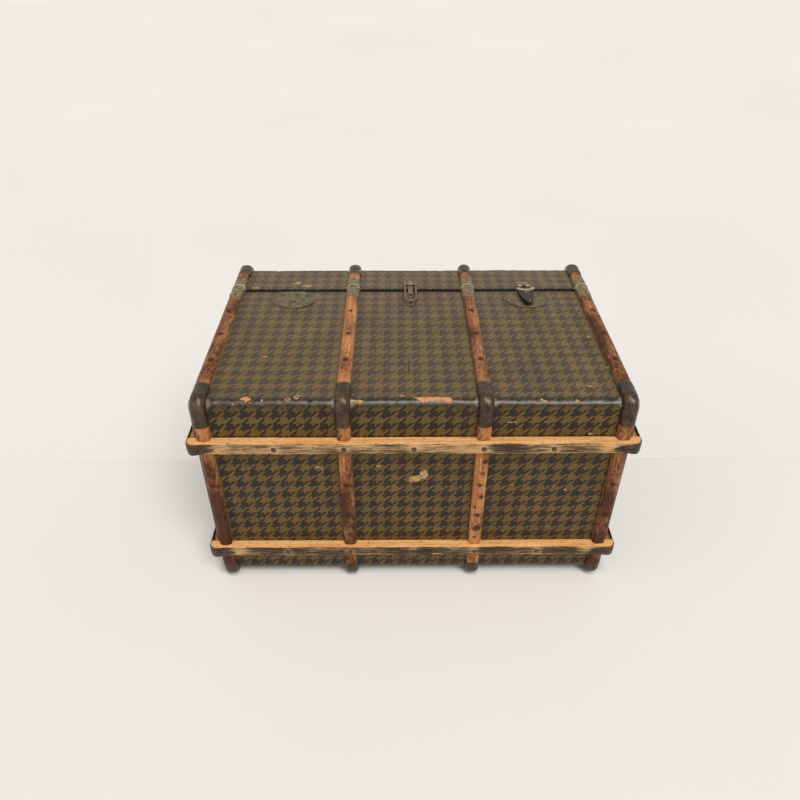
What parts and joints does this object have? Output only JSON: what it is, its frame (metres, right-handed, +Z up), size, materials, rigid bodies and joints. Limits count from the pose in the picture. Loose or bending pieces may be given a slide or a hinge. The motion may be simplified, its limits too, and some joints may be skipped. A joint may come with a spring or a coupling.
{
  "type": "travel trunk",
  "caption": "Slatted travel trunk lying on its back: woven canvas over boards, wooden slats and runners, iron bumpers, hinged lid, hasp, loop hasp and end handles.",
  "frame": {"origin": "on the floor, under the middle of the trunk's box", "axes": "+Z up, from the trunk's back on the floor to its front with the locks; +X along its length to the right of someone facing its bottom; +Y from its bottom to the top of its lid"},
  "size_m": [0.858, 0.5684, 0.4688],
  "materials": {
    "poplar_board": "planed poplar boards",
    "canvas": "varnished woven canvas, worn",
    "lining": "aged linen lining",
    "slat_wood": "oiled beech, scuffed",
    "runner_wood": "oiled beech, heavily worn",
    "black_iron": "blackened pressed iron, worn",
    "brass": "dull patinated brass",
    "iron": "rusted iron",
    "leather": "oiled harness leather"
  },
  "bodies": {
    "body": {"body_front_board": "poplar_board", "body_back_board": "poplar_board", "body_left_board": "poplar_board", "body_right_board": "poplar_board", "body_bottom_board": "poplar_board", "body_canvas": "canvas", "body_lining": "lining", "dust_rim": "poplar_board", "back_slats": "slat_wood", "front_runner": "runner_wood", "back_runner": "runner_wood", "left_end_slats": "slat_wood", "right_end_slats": "slat_wood", "front_bumpers": "black_iron", "back_bumpers": "black_iron", "runner_caps": "black_iron", "body_ferrules": "brass", "left_lock_plate": "brass", "right_lock_plate": "brass", "left_lock_case": "iron", "right_lock_case": "iron", "loop_staple": "iron", "left_handle": "leather", "right_handle": "leather", "handle_keepers": "black_iron", "body_hinge_leaves": "iron", "body_nails": "iron", "front_slat_1": "slat_wood", "bottom_slat_1": "slat_wood", "front_slat_2": "slat_wood", "bottom_slat_2": "slat_wood", "front_slat_3": "slat_wood", "bottom_slat_3": "slat_wood", "front_slat_4": "slat_wood", "bottom_slat_4": "slat_wood"},
    "lid": {"lid_top_board": "poplar_board", "lid_back_board": "poplar_board", "lid_front_board": "poplar_board", "lid_end_boards": "poplar_board", "lid_canvas": "canvas", "lid_lining": "lining", "lid_front_slats": "slat_wood", "lid_top_slats": "slat_wood", "lid_back_slats": "slat_wood", "lid_runners": "runner_wood", "lid_end_slats": "slat_wood", "lid_front_bumpers": "black_iron", "lid_back_bumpers": "black_iron", "lid_runner_caps": "black_iron", "lid_ferrules": "brass", "lid_hinge_leaves": "iron", "hinge_pins": "iron", "hasp_bracket": "brass", "loop_bracket": "brass", "lid_nails": "iron"},
    "hasp": {"hasp": "brass"},
    "loop_hasp": {"loop_hasp": "iron"}
  },
  "joints": [
    {"name": "lid_hinge", "type": "hinge", "parent": "body", "child": "lid", "pos_m": [0, 0.15275, 0.009], "axis": [-1, 0, 0], "range_deg": [0, 100]},
    {"name": "hasp_hinge", "type": "hinge", "parent": "lid", "child": "hasp", "pos_m": [0.253, 0.16325, 0.4595], "axis": [-1, 0, 0], "range_deg": [-5, 145]},
    {"name": "loop_hinge", "type": "hinge", "parent": "lid", "child": "loop_hasp", "pos_m": [0, 0.17425, 0.45875], "axis": [-1, 0, 0], "range_deg": [-5, 150]}
  ]
}
